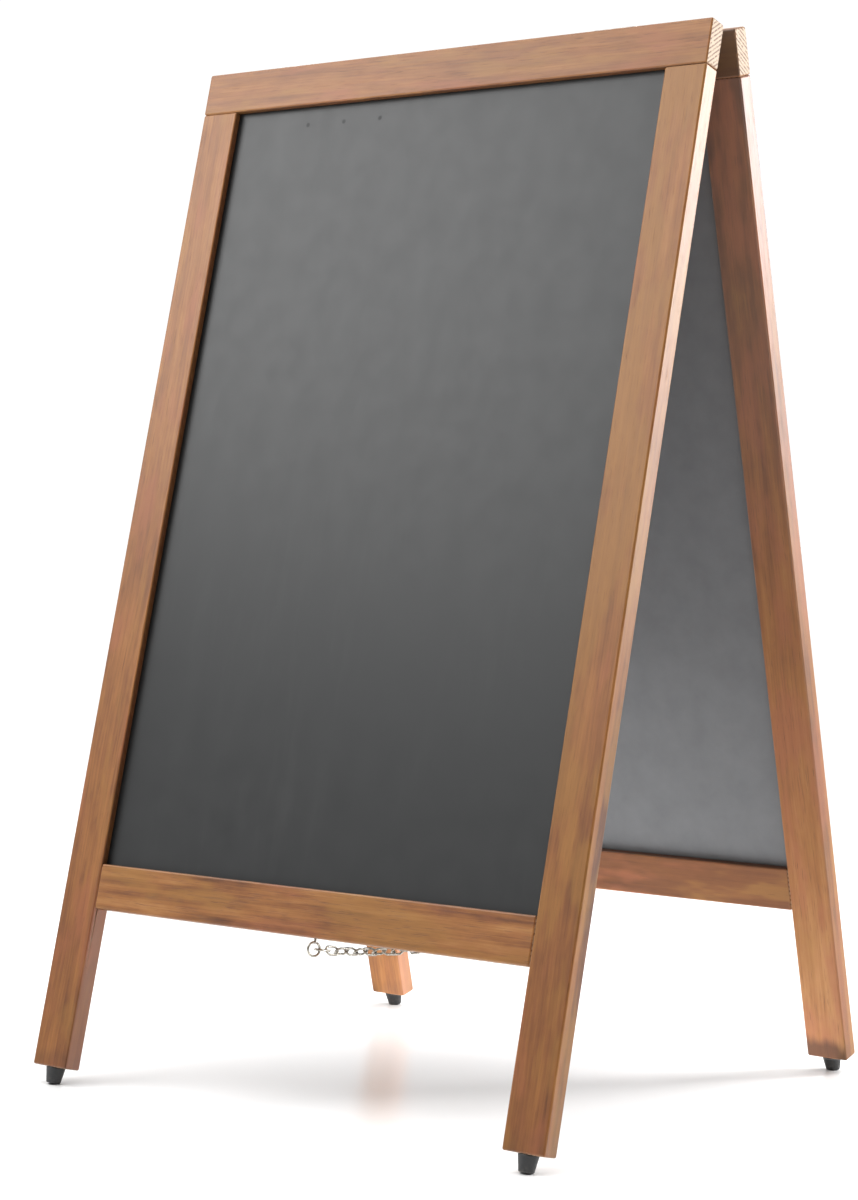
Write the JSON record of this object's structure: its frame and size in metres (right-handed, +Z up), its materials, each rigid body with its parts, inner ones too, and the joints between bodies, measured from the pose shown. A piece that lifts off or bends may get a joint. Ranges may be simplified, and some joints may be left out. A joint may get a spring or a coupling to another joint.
{
  "type": "sandwich board",
  "caption": "Folding hardwood A-frame chalkboard sign: two hinged frames with grooved-in chalkboards, rubber feet and a restraining chain.",
  "frame": {"origin": "on the ground, in the middle of the four feet", "axes": "+Z up, -Y towards the front board's writing face, +X to the right of somebody who faces it"},
  "size_m": [0.6, 0.5596, 1.0074],
  "materials": {
    "stained_hardwood": "satin orange-brown stain over straight fine grain",
    "dowel_beech": "plain beech",
    "chalkboard_black": "satin dark grey writing surface",
    "black_rubber": "matt moulded rubber",
    "hinge_steel": "zinc plated",
    "screw_steel": "zinc plated",
    "chain_steel": "bright zinc plated wire"
  },
  "bodies": {
    "front_frame": {"front_top_rail": "stained_hardwood", "front_left_stile": "stained_hardwood", "front_right_stile": "stained_hardwood", "front_bottom_rail": "stained_hardwood", "front_chalkboard": "chalkboard_black", "front_dowels": "dowel_beech", "front_left_foot": "black_rubber", "front_right_foot": "black_rubber", "front_foot_washers": "screw_steel", "front_foot_screws": "screw_steel", "left_hinge_front_leaf": "hinge_steel", "left_hinge_pin": "hinge_steel", "right_hinge_front_leaf": "hinge_steel", "right_hinge_pin": "hinge_steel", "front_hinge_screws": "screw_steel", "front_screw_eye": "chain_steel"},
    "rear_frame": {"rear_top_rail": "stained_hardwood", "rear_left_stile": "stained_hardwood", "rear_right_stile": "stained_hardwood", "rear_bottom_rail": "stained_hardwood", "rear_chalkboard": "chalkboard_black", "rear_dowels": "dowel_beech", "rear_left_foot": "black_rubber", "rear_right_foot": "black_rubber", "rear_foot_washers": "screw_steel", "rear_foot_screws": "screw_steel", "left_hinge_rear_leaf": "hinge_steel", "right_hinge_rear_leaf": "hinge_steel", "rear_hinge_screws": "screw_steel", "rear_screw_eye": "chain_steel"},
    "front_chain_hanging_run": {"front_chain_upper": "chain_steel"},
    "front_chain_end_run": {"front_chain_lower": "chain_steel"},
    "rear_chain_hanging_run": {"rear_chain_upper": "chain_steel"},
    "rear_chain_end_run": {"rear_chain_lower": "chain_steel"}
  },
  "joints": [
    {"name": "fold", "type": "hinge", "parent": "front_frame", "child": "rear_frame", "pos_m": [0, 0, 1.00259], "axis": [1, 0, 0], "range_deg": [-28.4, 0]},
    {"name": "front_chain_swing", "type": "hinge", "parent": "front_frame", "child": "front_chain_hanging_run", "pos_m": [0.0142, -0.23355, 0.15705], "axis": [1, 0, 0], "range_deg": [-85.2, 0]},
    {"name": "front_chain_bend", "type": "hinge", "parent": "front_chain_hanging_run", "child": "front_chain_end_run", "pos_m": [0.0142, -0.0853, 0.13836], "axis": [1, 0, 0], "range_deg": [0, 85.2]},
    {"name": "rear_chain_swing", "type": "hinge", "parent": "rear_frame", "child": "rear_chain_hanging_run", "pos_m": [0.0038, 0.23355, 0.15705], "axis": [1, 0, 0], "range_deg": [0, 110.76]},
    {"name": "rear_chain_bend", "type": "hinge", "parent": "rear_chain_hanging_run", "child": "rear_chain_end_run", "pos_m": [0.0038, 0.09969, 0.1394], "axis": [1, 0, 0], "range_deg": [0, 88.04]}
  ],
  "couplings": [
    {"joint": "front_chain_swing", "follows": "fold", "ratio": 3},
    {"joint": "front_chain_bend", "follows": "fold", "ratio": -3},
    {"joint": "rear_chain_swing", "follows": "fold", "ratio": -3.9},
    {"joint": "rear_chain_bend", "follows": "fold", "ratio": -3.1}
  ]
}
